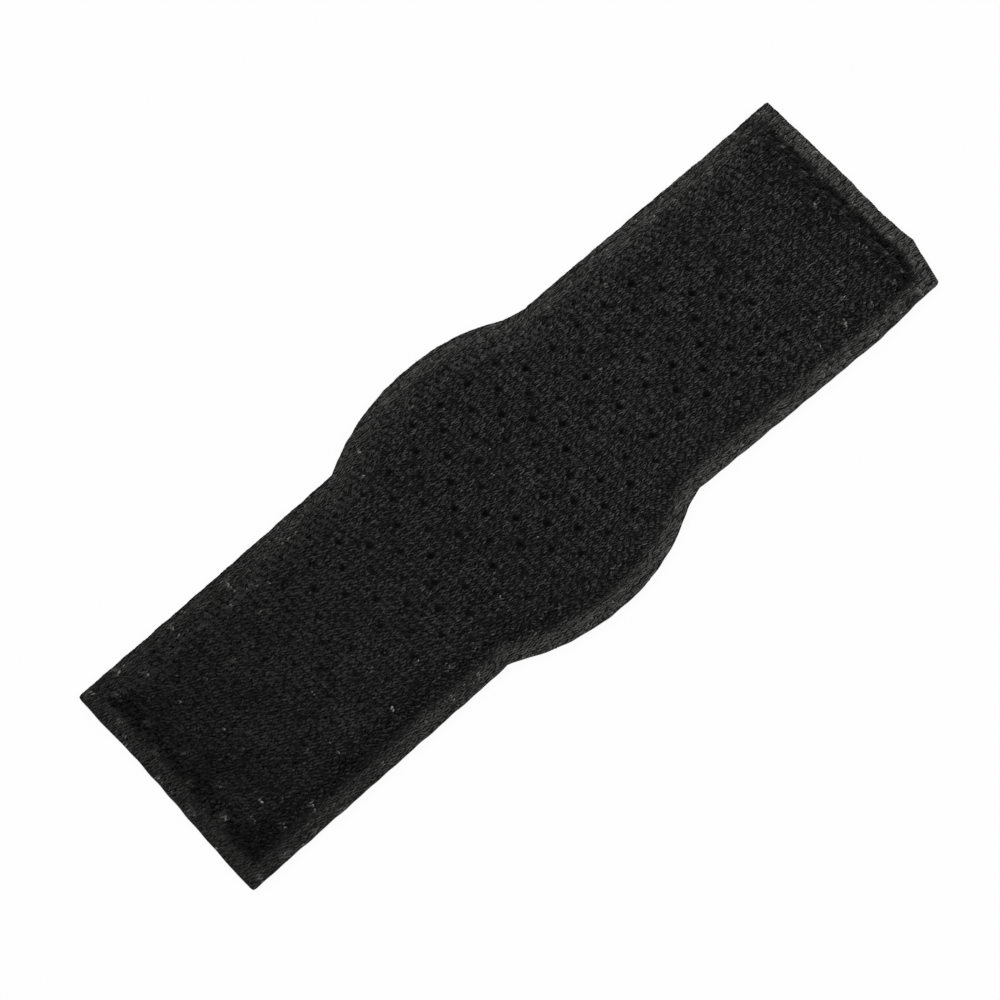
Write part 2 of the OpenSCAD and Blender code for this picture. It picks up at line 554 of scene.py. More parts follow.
    def face_normal(self, x: Array, y: Array) -> Array:
        """Direction in which the knitted face looks.

        Args:
            x: Places along the band.
            y: Places across the band.

        Returns:
            The unit normal at each place, one row each.
        """
        step = self.normal_step
        slope_x = (self.face_height(x + step, y) - self.face_height(x - step, y)) / (2.0 * step)
        slope_y = (self.face_height(x, y + step) - self.face_height(x, y - step)) / (2.0 * step)
        normal = np.stack([-slope_x, -slope_y, np.ones_like(x)], axis=1)
        return normal / np.linalg.norm(normal, axis=1, keepdims=True)

    def sides(self, x: Array, y: Array) -> tuple[Array, Array]:
        """Whether each point lies by an end of the band, and whether in its upper half.

        Args:
            x: Places along the band.
            y: Places across the band.

        Returns:
            The two shares for each place.
        """
        nearer_end = self.half_width_at(x) - np.abs(y) - self.half_length + np.abs(x)
        by_end = smoothstep(-self.end_blend, self.end_blend, nearer_end)
        return by_end, smoothstep(-self.half_blend, self.half_blend, y)

    def rim_lightness_at(self, x: Array, y: Array) -> Array:
        """How light the rim is made at each point, by its place along the band and on which long side."""
        by_end, upper = self.sides(x, y)
        return read_table(self.rim_lightness, x) * (1.0 - self.upper_rim_dimming * upper * (1.0 - by_end))

    def pressed_share(self, x: Array, y: Array) -> Array:
        """How strongly each point shows the press of the weld.

        Args:
            x: Places along the band.
            y: Places across the band.

        Returns:
            A share for each place: 1 at the rim, 0 on the top.
        """
        by_end, upper = self.sides(x, y)
        before, after = (
            by_end * end + (1.0 - by_end) * (upper * high + (1.0 - upper) * low)
            for end, high, low in zip(self.end_fade, self.upper_fade, self.lower_fade)
        )
        return 1.0 - smoothstep(self.rim_width - before, self.rim_width + after, self.edge_distance(x, y))

    def round_corners(self, x: Array, y: Array) -> tuple[Array, Array]:
        """Pulls the points near each corner of the band in, so that the corner becomes round.

        Args:
            x: Places along the band.
            y: Places across the band.

        Returns:
            The moved places along and across.
        """
        straight_x = self.half_length - self.corner_radius
        straight_y = self.half_width - self.corner_radius
        from_x, from_y = np.abs(x) - straight_x, np.abs(y) - straight_y
        corner = (from_x > 0.0) & (from_y > 0.0)
        pull = np.maximum(from_x, from_y) / np.maximum(np.hypot(from_x, from_y), TINY)
        round_x = np.where(corner, np.sign(x) * (straight_x + from_x * pull), x)
        return round_x, np.where(corner, np.sign(y) * (straight_y + from_y * pull), y)

    def lie(self, x: Array, y: Array, z: Array) -> Array:
        """Moves points from the drawn outline to the hand-cut one in the photograph.

        Args:
            x: Place along the band.
            y: Place across the band.
            z: Height.

        Returns:
            The moved points, one row each.
        """
        x, y = self.round_corners(x, y)
        wobble = self.edge_wobble * ripple(x, y, self.wobble_length) - self.edge_fuzz
        side_inset = np.where(y > 0.0, read_table(self.upper_inset, x), read_table(self.lower_inset, x))
        end_inset = np.where(x > 0.0, read_table(self.right_inset, y), read_table(self.left_inset, y))
        near_end = smoothstep(self.half_length - self.end_reach, self.half_length, np.abs(x))
        moved_x = x - np.sign(x) * (end_inset + wobble) * near_end
        moved_y = y * (1.0 - (side_inset + wobble) / self.half_width_at(x))
        return np.stack([moved_x, moved_y, z], axis=1)


@dataclass(frozen=True)
class Zone:
    """A stretch of the pad over one flex line, which bends from one body to the next."""

    name: str
    near_body: str
    far_body: str
    side: int
    near: float
    far: float
    turn_near: float
    turn_far: float

    @property
    def low_x(self) -> float:
        """Lowest x of the stretch."""
        return min(self.side * self.near, self.side * self.far)

    @property
    def high_x(self) -> float:
        """Highest x of the stretch."""
        return max(self.side * self.near, self.side * self.far)

    def nodes(self, layer: Layer) -> list[str]:
        """CAD nodes of that layer for which a piece over this stretch stands."""
        return [f"{layer.value}_{body}" for body in (self.near_body, self.far_body)]

    def spread(self, drawn: Array) -> Array:
        """Spreads places from -1 to 1 evenly over the stretch."""
        return self.low_x + (drawn + 1.0) / 2.0 * (self.high_x - self.low_x)

    def bend(self, piece: bpy.types.Object) -> None:
        """Bakes a piece's placement into its mesh; the piece is not bent over the flex line.

        Args:
            piece: A piece that covers the stretch.
        """
        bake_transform(piece)

    @classmethod
    def all_from_frame(cls, form: PadForm) -> list["Zone"]:
        """Makes a stretch for every flex joint, each reaching halfway to the next flex line.

        Args:
            form: The pad's sizes.

        Returns:
            The stretches, from the middle outwards on each side.
        """
        zones = []
        for side in (-1, 1):
            joints = [j for j in frame["joints"] if j["pos_m"][0] * side > 0.0]
            joints.sort(key=lambda joint: abs(joint["pos_m"][0]))
            lines = [abs(joint["pos_m"][0]) / MM for joint in joints]
            reach = (lines[1] - lines[0]) / 2.0
            near = 0.0
            for joint, line in zip(joints, lines):
                far = form.half_length if joint is joints[-1] else line + reach
                zones.append(cls(
                    name=joint["child"], near_body=joint["parent"], far_body=joint["child"], side=side,
                    near=near, far=far, turn_near=line - reach, turn_far=line + reach,
                ))
                near = far
        return zones


@dataclass(frozen=True)
class KnitLattice:
    """Where the stitches and eyelets of the face lie; the cloth was welded on a little askew."""

    eyelet_pitch: float = 4.75
    row_pitch: float = 3.2
    courses_per_eyelet: int = 4
    wales_per_two_rows: int = 6
    shift_x: float = 0.15
    shift_y: float = 1.87
    skew_x: float = -0.078
    skew_y: float = -0.052
    eyelet_gap: float = 0.16
    eyelet_length: float = 0.9
    eyelet_reach: float = 1.2
    # How far eyelets stand open by the rim, and the least that chance leaves of them.
    rim_openness: float = 0.3
    least_openness: float = 0.6
    # How much the knit closes towards each end: share, and from where to where along the cloth.
    left_closing: tuple[float, float, float] = (0.6, -20.0, -50.0)
    right_closing: tuple[float, float, float] = (0.5, 36.0, 50.0)

    @property
    def course(self) -> float:
        """Length of a stitch along the band."""
        return self.eyelet_pitch / self.courses_per_eyelet

    @property
    def wale(self) -> float:
        """Width of a stitch across the band."""
        return 2.0 * self.row_pitch / self.wales_per_two_rows

    def to_pad(self, along: Array, across: Array) -> tuple[Array, Array]:
        """Turns places in the cloth into places on the pad."""
        x = self.shift_x + along + self.skew_x * across
        return x, self.shift_y + across + self.skew_y * along

    def to_cloth(self, x: Array, y: Array) -> tuple[Array, Array]:
        """Turns places on the pad into places in the cloth.

        Args:
            x: Places along the band.
            y: Places across the band.

        Returns:
            The places along and across the cloth.
        """
        scale = 1.0 - self.skew_x * self.skew_y
        dx, dy = x - self.shift_x, y - self.shift_y
        return (dx - self.skew_x * dy) / scale, (dy - self.skew_y * dx) / scale

    def nearest_eyelet(self, along: Array, across: Array) -> tuple[Array, Array]:
        """Finds the eyelet nearest to each place; every other row is shifted half a pitch.

        Args:
            along: Places along the cloth.
            across: Places across the cloth.

        Returns:
            The eyelets' centres, along and across the cloth.
        """
        found = []
        for half in (0.0, 0.5):
            eyelet_along = (np.round(along / self.eyelet_pitch - half) + half) * self.eyelet_pitch
            eyelet_across = (np.round(across / (2.0 * self.row_pitch) - half) + half) * 2.0 * self.row_pitch
            found.append((eyelet_along, eyelet_across))
        even, odd = found
        nearer_even = np.hypot(along - even[0], across - even[1]) < np.hypot(along - odd[0], across - odd[1])
        return np.where(nearer_even, even[0], odd[0]), np.where(nearer_even, even[1], odd[1])

    def openness(self, form: PadForm, eyelet_along: Array, eyelet_across: Array) -> Array:
        """How far an eyelet stands open: some more than others, and nearly shut where the weld pressed it.

        Args:
            form: The pad's sizes.
            eyelet_along: The eyelets' centres, along the cloth.
            eyelet_across: The eyelets' centres, across the cloth.

        Returns:
            A share for each eyelet.
        """
        inside = form.edge_distance(*self.to_pad(eyelet_along, eyelet_across))
        unpressed = smoothstep(form.rim_width, form.rim_width + form.shoulder_width, inside)
        unpressed = self.rim_openness + (1.0 - self.rim_openness) * unpressed
        closed = sum(
            share * smoothstep(start, end, eyelet_along)
            for share, start, end in (self.left_closing, self.right_closing)
        )
        chance = self.least_openness + (1.0 - self.least_openness) * scatter(eyelet_along, eyelet_across)
        return unpressed * (1.0 - closed) * chance

    def open_eyelets(self, form: PadForm, along: Array, across: Array, strand_across: Array) -> Array:
        """Parts the wales at each eyelet, so that a small dark lens stays open between them.

        Args:
            form: The pad's sizes.
            along: Places along the cloth.
            across: Places across the cloth.
            strand_across: Places across the cloth of the strands that the points belong to.

        Returns:
            The moved places across the cloth.
        """
        eyelet_along, eyelet_across = self.nearest_eyelet(along, strand_across)
        share = np.maximum(1.0 - ((along - eyelet_along) / self.eyelet_length) ** 2, 0.0)
        away = strand_across - eyelet_across
        fade = 1.0 - smoothstep(0.0, self.eyelet_reach, np.abs(away))
        gap = self.eyelet_gap * self.openness(form, eyelet_along, eyelet_across)
        return across + np.sign(away) * gap * share * fade


def finished_object(
    name: str, bm: bmesh.types.BMesh, place: Callable[[Array], Placed], material: bpy.types.Material
) -> bpy.types.Object:
    """Turns a bmesh into an object, with every vertex moved to its place.

    Args:
        name: Name of the piece.
        bm: The drawn mesh, which is freed.
        place: Gives each vertex's place in millimetres, and values to store on the vertices.
        material: Finish of the piece.

    Returns:
        The object, linked to the scene.
    """
    mesh = bpy.data.meshes.new(name)
    bm.to_mesh(mesh)
    bm.free()
    drawn = np.zeros(len(mesh.vertices) * 3, np.float32)
    mesh.vertices.foreach_get("co", drawn)
    placed, attributes = place(drawn.reshape(-1, 3).astype(float))
    mesh.vertices.foreach_set("co", (placed * MM).astype(np.float32).ravel())
    for key, values in attributes.items():
        mesh.attributes.new(key, "FLOAT", "POINT").data.foreach_set("value", values.astype(np.float32))
    mesh.shade_smooth()
    mesh.materials.append(material)
    mesh.update()
    piece = bpy.data.objects.new(name, mesh)
    bpy.context.scene.collection.objects.link(piece)
    return piece


def slab(form: PadForm, zone: Zone, grid: float) -> bmesh.types.BMesh:
    """A closed slab of small squares, from -1 to 1 both ways, with its underside at 0 and its top at 1.

    Args:
        form: The pad's sizes.
        zone: Stretch that the slab will cover.
        grid: Side of a square once the slab is in place, about.

    Returns:
        The slab, to be moved into place.
    """
    columns = round((zone.far - zone.near) / grid)
    rows = round(2.0 * form.half_width / grid)
    bm = bmesh.new()
    bmesh.ops.create_grid(bm, x_segments=columns, y_segments=rows, size=1.0)
    raised = bmesh.ops.extrude_face_region(bm, geom=bm.faces[:])["geom"]
    top = [item for item in raised if isinstance(item, bmesh.types.BMVert)]
    bmesh.ops.translate(bm, verts=top, vec=(0.0, 0.0, 1.0))
    bmesh.ops.recalc_face_normals(bm, faces=bm.faces[:])
    for edge in bm.edges:
        edge.smooth = edge.calc_face_angle() < SHARP_TURN
    return bm


def fill(
    bm: bmesh.types.BMesh, first: tuple[float, float], step: tuple[float, float], copies: tuple[int, int],
    kept: Array,
) -> None:
    """Repeats what is drawn over a grid, and deletes the copies that are not kept.

    Args:
        bm: One copy, drawn at the origin.
        first: Place of the first copy.
        step: Distance from copy to copy, along and across.
        copies: How many there are, along and across.
        kept: Whether each copy stays, row by row.
    """
    points = len(bm.verts)
    bmesh.ops.translate(bm, verts=bm.verts[:], vec=(*first, 0.0))
    for move, count in zip(((step[0], 0.0, 0.0), (0.0, step[1], 0.0)), copies):
        bmesh.ops.spin(
            bm, geom=bm.verts[:] + bm.edges[:] + bm.faces[:], cent=(0, 0, 0), axis=(0, 0, 1), dvec=move,
            angle=0.0, steps=count - 1, use_merge=False, use_duplicate=True,
        )
    bm.verts.index_update()
    outside = [vertex for vertex in bm.verts if not kept[vertex.index // points]]
    bmesh.ops.delete(bm, geom=outside, context="VERTS")


@dataclass
class SpacerMesh:
    """Body of the spacer mesh over one stretch: dark ground under the stitches, with a pit at each eyelet."""

    form: PadForm
    lattice: KnitLattice
    zone: Zone
    grid: float = 0.3
    stitch_depth: float = 0.34
    least_thickness: float = 0.2
    pit_depth: float = 0.7
    pit_radius: float = 0.62
    pit_floor: float = 0.2
    # Along the rim the weld leaves a thin film and presses the stitches flatter; both fade out inside it.
    rim_film: float = 0.2
    rim_fade: float = 1.0
    rim_flatten: float = 0.3
    # Eyelets this far outside the rim's inner edge are welded shut, and this share of them without a film.
    shut_reach: float = 0.5
    unmelted_share: float = 0.35

    def place(self, drawn: Array) -> Placed:
        """Moves the drawn slab to the form of the pad.

        Args:
            drawn: Vertices of the slab.

        Returns:
            The vertices' places, how far each one is fused, and how far it lies in a pit, whose colour is
            painted shade.
        """
        form, lattice = self.form, self.lattice
        x = self.zone.spread(drawn[:, 0])
        y = drawn[:, 1] * form.half_width_at(x)
        along, across = lattice.to_cloth(x, y)
        eyelet = lattice.nearest_eyelet(along, across)
        away = np.hypot(along - eyelet[0], across - eyelet[1])
        near_eyelet = smoothstep(self.pit_radius, self.pit_floor, away)
        eyelet_inside = form.edge_distance(*lattice.to_pad(*eyelet))
        faded = form.rim_width + self.rim_fade
        weld = 1.0 - smoothstep(form.rim_width - self.shut_reach, faded, eyelet_inside)
        melted = scatter(*eyelet) > self.unmelted_share
        # Open eyelets sink the ground into a pit and give it the pit colour, which is painted shade.
        pitted_and_shaded = near_eyelet * (1.0 - weld) * lattice.openness(form, *eyelet)
        rim = 1.0 - smoothstep(form.rim_width, faded, form.edge_distance(x, y))
        fused = np.maximum(near_eyelet * weld * melted, self.rim_film * rim)
        depth = self.stitch_depth * (1.0 - self.rim_flatten * rim) / form.face_normal(x, y)[:, 2]
        top = form.face_height(x, y) - depth - self.pit_depth * pitted_and_shaded
        low = np.minimum(form.foam_height(x, y), top - self.least_thickness)
        z = np.where(drawn[:, 2] > SLAB_MIDDLE, top, low)
        return form.lie(x, y, z), {"fused": fused, "pitted_and_shaded": pitted_and_shaded}

    def build(self, finishes: Finishes) -> bpy.types.Object:
        """Args:
            finishes: The shared materials.

        Returns:
            The finished piece.
        """
        drawn = slab(self.form, self.zone, self.grid)
        piece = finished_object(f"spacer_mesh_{self.zone.name}", drawn, self.place, finishes.ground)
        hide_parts(*self.zone.nodes(Layer.PILE))
        self.zone.bend(piece)
        return piece


@dataclass
class LaidStrands:
    """Strands of the knit once they lie on the pad, with one row of each array for each vertex."""

    x: Array
    y: Array
    normal: Array
    pressed: Array
    # Where the strand's centre is in the cloth, and how far on from it the vertex is drawn.
    centre: Array
    onward: Array
    # 1 on the ridge and 0 down the flanks, and whether the strand belongs to the row behind.
    ridge: Array
    under: Array
    # The nearest eyelet, the distance to it, and how far it draws the strand in.
    hole: tuple[Array, Array]
    from_hole: Array
    sunk: Array
    # What was drawn for the whole strand.
    tint: Array
    chance: Array
    shine: Array


@dataclass
class KnitFace:
    """Knitted face over one stretch: rows of stitches of fine strands, pushed aside round the eyelets."""

    form: PadForm
    lattice: KnitLattice
    zone: Zone
    strand_length: float = 0.82
    strand_width: float = 0.18
    strand_thickness: float = 0.27
    strand_columns: int = 6
    # Every other strand belongs to the row behind: it lies lower and further on, in its neighbours' shade.
    under_drop: float = 0.08
    under_step: float = 0.4
    under_tone: Table = ((-64.0, 1.0), (-40.0, 0.8), (-10.0, 0.42))
    stagger: float = 0.1
    slant: float = math.radians(-10.0)
    arch: float = 0.26
    turn_spread: float = math.radians(11.0)
    # The weld draws the yarn out into longer, finer and flatter strands that turn a little more.
    rim_turn: float = 0.1
    rim_narrow: float = 0.4
    rim_stretch: float = 0.25
    rim_flatten: float = 0.25
    # On the slopes the cloth is stretched: strands close up at the ends and thin out along the sides.
    end_widen: float = 0.45
    side_narrow: float = 0.3
    nudge_spread: tuple[float, float, float] = (0.1, 0.07, 0.05)
    # Light runs along the ridge of a strand; its flanks and tips fall into shade.
    flank_tone: float = 0.38
    tip_shade: float = 0.2
    stretch_spread: float = 0.16
    sides: int = 5
    rings: int = 4
    edge_overlap: float = 0.7
    eyelet_sink: float = 0.8
    eyelet_shade: float = 0.5
    eyelet_outer: float = 0.68
    eyelet_inner: float = 0.32
    # Strands that point up or down the slope at an end turn less of their length to the light.
    end_shade: float = 0.12
    # Painted shade darkens the upper and lower slopes; those on the upper slope are seen from the side, which
    # shows fewer of the dark gaps.
    upper_shade: float = 0.05
    lower_shade: float = 0.2
    # Along the band, (x, tone), (x, spread of the tone) and (x, widening): the left wing is darker, more even
    # and more matted than the right one, and the tone holds painted shade in dark bands on the slopes inside
    # both ends.
    tone_and_shade_middle: Table = (
        (-64.0, 0.145), (-56.0, 0.16), (-44.0, 0.25), (-30.0, 0.37), (10.0, 0.75), (52.0, 0.72), (56.5, 0.6),
        (58.2, 0.34), (59.0, 0.26), (60.2, 0.27), (61.5, 0.3), (61.8, 0.6),
    )
    tone_spread: Table = ((-64.0, 0.04), (-30.0, 0.1), (0.0, 0.24), (64.0, 0.32))
    matting: Table = ((-64.0, 2.2), (-35.0, 1.7), (-5.0, 1.0))
    # The tone wanders slowly over the cloth.
    tone_ripple: float = 0.06
    ripple_length: float = 9.0
    # How bright the weld makes a dark strand, and how much more a light one.
    press_base: float = 0.35
    press_gain: float = 1.3
    # Painted highlights: bright specks towards one tip of a strand, a few anywhere, most on the near side of
    # the eyelets by the rim and at the right end.
    glint_share: float = 0.007
    glint_end: tuple[float, float] = (0.15, 0.45)
    rim_glint: Table = ((-64.0, 0.015), (0.0, 0.05), (64.0, 0.1))
    spark_share: float = 0.8
    spark_side: float = 0.6
    spark_outer: float = 0.8
    spark_inner: float = 0.3
    spark_reach: float = 12.0
    right_sparks: tuple[float, float] = (42.0, 50.0)
    spark_rise: Table = ((-64.0, 0.8), (0.0, 0.9), (44.0, 1.0), (58.0, 1.7))
    shy_eyelets: float = 0.3
    # Eyelets that the weld half closed set as soft grey spots with a few flecks of painted highlight: (x,
    # tone).
    spot_tone: Table = ((-64.0, 0.085), (-44.0, 0.06), (0.0, 0.055), (44.0, 0.08), (64.0, 0.1))
    spot_base: float = 0.35
    spot_fleck: float = 2.6
    spot_reach: float = 6.0
    spot_outer: float = 0.8
    spot_inner: float = 0.3

    def stitch(self) -> bmesh.types.BMesh:
        """Draws one stitch: strands side by side that dip at both ends, every other one in the row behind.

        Returns:
            The stitch, centred on the origin.
        """
        bm = bmesh.new()
        size = (self.strand_length, self.strand_width, self.strand_thickness)
        for column in range(self.strand_columns):
            under = column % 2
            ball = bmesh.ops.create_uvsphere(bm, u_segments=self.sides, v_segments=self.rings, radius=0.5)
            verts = ball["verts"]
            bmesh.ops.rotate(bm, verts=verts, matrix=Matrix.Rotation(-math.pi / 2.0, 3, "Y"))
            bmesh.ops.scale(bm, verts=verts, vec=size)
            for vertex in verts:
                vertex.co.z -= self.arch * (2.0 * vertex.co.x / self.strand_length) ** 2
            slant = self.slant * (1 - 2 * under)
            bmesh.ops.rotate(bm, verts=verts, matrix=Matrix.Rotation(slant, 3, "Z"))
            along = (self.stagger * (column // 2 - 0.5) + self.under_step * under) * self.lattice.course
            across = ((column + 0.5) / self.strand_columns - 0.5) * self.lattice.wale
            bmesh.ops.translate(bm, verts=verts, vec=(along, across, -self.under_drop * under))
        return bm

    def build(self, finishes: Finishes) -> bpy.types.Object:
        """Args:
            finishes: The shared materials.

        Returns:
            The finished piece.
        """
        form, lattice, zone = self.form, self.lattice, self.zone
        slack = form.lobe_half * abs(lattice.skew_x) + lattice.course
        first = math.floor((zone.low_x - slack - lattice.shift_x) / lattice.course)
        columns = math.ceil((zone.high_x - zone.low_x + 2.0 * slack) / lattice.course) + 1
        rise = form.half_length * abs(lattice.skew_y) + form.lobe_half
        lowest = math.floor((-rise - lattice.shift_y) / lattice.wale)
        rows = math.ceil(2.0 * rise / lattice.wale) + 1
        along = (first + np.arange(columns) + 0.5) * lattice.course
        across = (lowest + np.arange(rows) + 0.5) * lattice.wale
        x, y = lattice.to_pad(*(part.ravel() for part in np.meshgrid(along, across)))
        inside_low = (x >= zone.low_x) | (zone.low_x <= -form.half_length)
        inside_high = (x < zone.high_x) | (zone.high_x >= form.half_length)
        kept = inside_low & inside_high & (form.edge_distance(x, y) > -self.edge_overlap)
        bm = self.stitch()
        fill(bm, (along[0], across[0]), (lattice.course, lattice.wale), (columns, rows), kept)
        piece = finished_object(f"knit_face_{zone.name}", bm, self.place, finishes.yarn)
        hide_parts(*zone.nodes(Layer.KNIT))
        zone.bend(piece)
        return piece

    def place(self, drawn: Array) -> Placed:
        """Moves the drawn stitches to the face of the pad, each strand a little different.

        Args:
            drawn: Vertices of the flat, even knit.

        Returns:
            The vertices' places, and each one's tone, pressed share and glint.
        """
        form, lattice = self.form, self.lattice
        points = self.sides * (self.rings - 1) + 2
        strands = len(drawn) // points
        centre = drawn.reshape(strands, points, 3).mean(axis=1).repeat(points, axis=0)
        rng = np.random.default_rng([SEED, strands, round(self.zone.low_x + form.half_length)])
        turn = rng.normal(0.0, self.turn_spread, strands).repeat(points)
        nudge = rng.normal(0.0, 1.0, (strands, 3)).repeat(points, axis=0) * self.nudge_spread
        stretch = rng.normal(1.0, self.stretch_spread, strands).repeat(points)
        tint = rng.normal(0.0, 1.0, strands).repeat(points)
        chance = rng.random(strands).repeat(points)
        shine = rng.random(strands).repeat(points)
        middle = lattice.to_pad(centre[:, 0], centre[:, 1])
        on_rim = form.edge_distance(*middle) < form.rim_width
        slope = np.abs(form.face_normal(*middle))
        turn *= 1.0 + self.rim_turn * on_rim
        stretch *= 1.0 + self.rim_stretch * on_rim
        onward, aside = (drawn - centre)[:, :2].T
        ridge = 1.0 - np.minimum(np.abs(aside) / (self.strand_width / 2.0), 1.0)
        ridge *= 1.0 - self.tip_shade * (2.0 * onward / self.strand_length) ** 2
        aside = aside * (read_table(self.matting, centre[:, 0]) * (1.0 - self.rim_narrow * on_rim))
        aside *= 1.0 + self.end_widen * slope[:, 0] - self.side_narrow * slope[:, 1]
        along = centre[:, 0] + stretch * onward * np.cos(turn) - aside * np.sin(turn) + nudge[:, 0]
        across = centre[:, 1] + stretch * onward * np.sin(turn) + aside * np.cos(turn) + nudge[:, 1]
        across = lattice.open_eyelets(form, along, across, centre[:, 1])
        x, y = lattice.to_pad(along, across)
        y = np.clip(y, -form.half_width_at(x), form.half_width_at(x))
        x = np.clip(x, -form.half_length, form.half_length)
        hole = lattice.nearest_eyelet(along, across)
        from_hole = np.hypot(along - hole[0], across - hole[1])
        laid = LaidStrands(
            x=x,
            y=y,
            normal=form.face_normal(x, y),
            pressed=form.pressed_share(x, y),
            centre=centre,
            onward=onward,
            ridge=ridge,
            under=(np.arange(strands) % 2).repeat(points),
            hole=hole,
            from_hole=from_hole,
            sunk=smoothstep(self.eyelet_outer, self.eyelet_inner, from_hole) * lattice.openness(form, *hole),
            tint=tint,
            chance=chance,
            shine=shine,
        )
        height = drawn[:, 2] + nudge[:, 2] - self.strand_thickness / 2.0
        height *= 1.0 - self.rim_flatten * laid.pressed
        height -= self.eyelet_sink * laid.sunk * (1.0 - laid.pressed)
        surface = np.stack([x, y, form.face_height(x, y)], axis=1) + laid.normal * height[:, None]
        tone = self.tones(laid)
        pressed = form.rim_lightness_at(x, y) * laid.pressed * (self.press_base + self.press_gain * tone)
        return form.lie(*surface.T), {"tone": tone, "pressed": pressed, "glint": self.glints(laid)}

    def tones(self, laid: LaidStrands) -> Array:
        """How light the yarn is: its own random tone, with painted shade that leaves it lightest on the
        ridges, darker on slopes, in eyelets and in the row behind.

        Args:
            laid: The strands on the pad.

        Returns:
            A share for each vertex.
        """
        unpressed = 1.0 - laid.pressed
        # The middle tone along the band holds painted shade on the slopes inside both ends.
        tone = read_table(self.tone_and_shade_middle, laid.x) + laid.tint * read_table(self.tone_spread, laid.x)
        tone += self.tone_ripple * ripple(laid.x, laid.y, self.ripple_length)
        tone -= self.end_shade * np.abs(laid.normal[:, 0]) * unpressed
        upper = np.maximum(laid.normal[:, 1], 0.0)
        lower = np.maximum(-laid.normal[:, 1], 0.0)
        tone *= 1.0 - self.upper_shade * upper - self.lower_shade * lower
        tone *= 1.0 - (1.0 - read_table(self.under_tone, laid.x)) * laid.under * unpressed
        tone *= 1.0 - self.eyelet_shade * laid.sunk
        tone *= self.flank_tone + (1.0 - self.flank_tone) * laid.ridge
        return np.clip(tone, 0.0, 1.0)

    def glints(self, laid: LaidStrands) -> Array:
        """How far the yarn shows a painted highlight as a bright speck, or a soft grey spot with flecks of
        painted highlight where the weld half closed an eyelet.

        Args:
            laid: The strands on the pad.

        Returns:
            A share for each vertex.
        """
        rim = self.form.rim_width
        inside = self.form.edge_distance(laid.x, laid.y)
        near_weld = 1.0 - smoothstep(rim, rim + self.spark_reach, inside)
        centre_along, centre_across = laid.centre[:, 0], laid.centre[:, 1]
        eyelet = self.lattice.nearest_eyelet(centre_along, centre_across)
        from_spark = np.hypot(
            centre_along - eyelet[0] + self.spark_side, centre_across - eyelet[1] + self.spark_side
        )
        spark = smoothstep(self.spark_outer, self.spark_inner, from_spark)
        spark *= scatter(*eyelet) > self.shy_eyelets
        spark *= np.maximum(near_weld, smoothstep(*self.right_sparks, laid.x))
        spark *= read_table(self.spark_rise, laid.x)
        share = self.glint_share + self.spark_share * spark
        share += read_table(self.rim_glint, laid.x) * laid.pressed
        glint = laid.shine**2 * (laid.chance < share) * smoothstep(*self.glint_end, laid.onward)
        spot = smoothstep(self.spot_outer, self.spot_inner, laid.from_hole)
        spot *= scatter(*laid.hole) > self.shy_eyelets
        spot *= 1.0 - smoothstep(rim, rim + self.spot_reach, inside)
        spot *= read_table(self.spot_tone, laid.x) * (self.spot_base + self.spot_fleck * laid.shine**3)
        return np.maximum(glint, spot)


@dataclass
class FoamSheet:
    """Foam sheet over one stretch, hollowed underneath for the splint plate."""

    form: PadForm
    zone: Zone
    grid: float = 0.8
    plate_clearance: float = 0.2
    least_thickness: float = 0.02

    def place(self, drawn: Array) -> Placed:
        """Moves the drawn slab to the form of the foam.

        Args:
            drawn: Vertices of the slab.

        Returns:
            The vertices' places.
        """
        form, zone = self.form, self.zone
        far = min(zone.far, form.half_length - form.filling_edge)
        x = zone.side * (zone.near + (drawn[:, 0] * zone.side + 1.0) / 2.0 * (far - zone.near))
        y = drawn[:, 1] * (form.half_width_at(x) - form.filling_edge)
        over_plate = np.hypot(x, y) < form.plate_radius + self.plate_clearance
        low = np.where(over_plate, form.plate_z + self.plate_clearance, form.loop_z)
        top = np.maximum(form.foam_height(x, y), low + self.least_thickness)
        return form.lie(x, y, np.where(drawn[:, 2] > SLAB_MIDDLE, top, low)), {}

    def build(self, finishes: Finishes) -> bpy.types.Object:
        """Args:
            finishes: The shared materials.

        Returns:
            The finished piece.
        """
        drawn = slab(self.form, self.zone, self.grid)
        piece = finished_object(f"foam_sheet_{self.zone.name}", drawn, self.place, finishes.foam)
        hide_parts(*self.zone.nodes(Layer.FOAM))
        self.zone.bend(piece)
        return piece


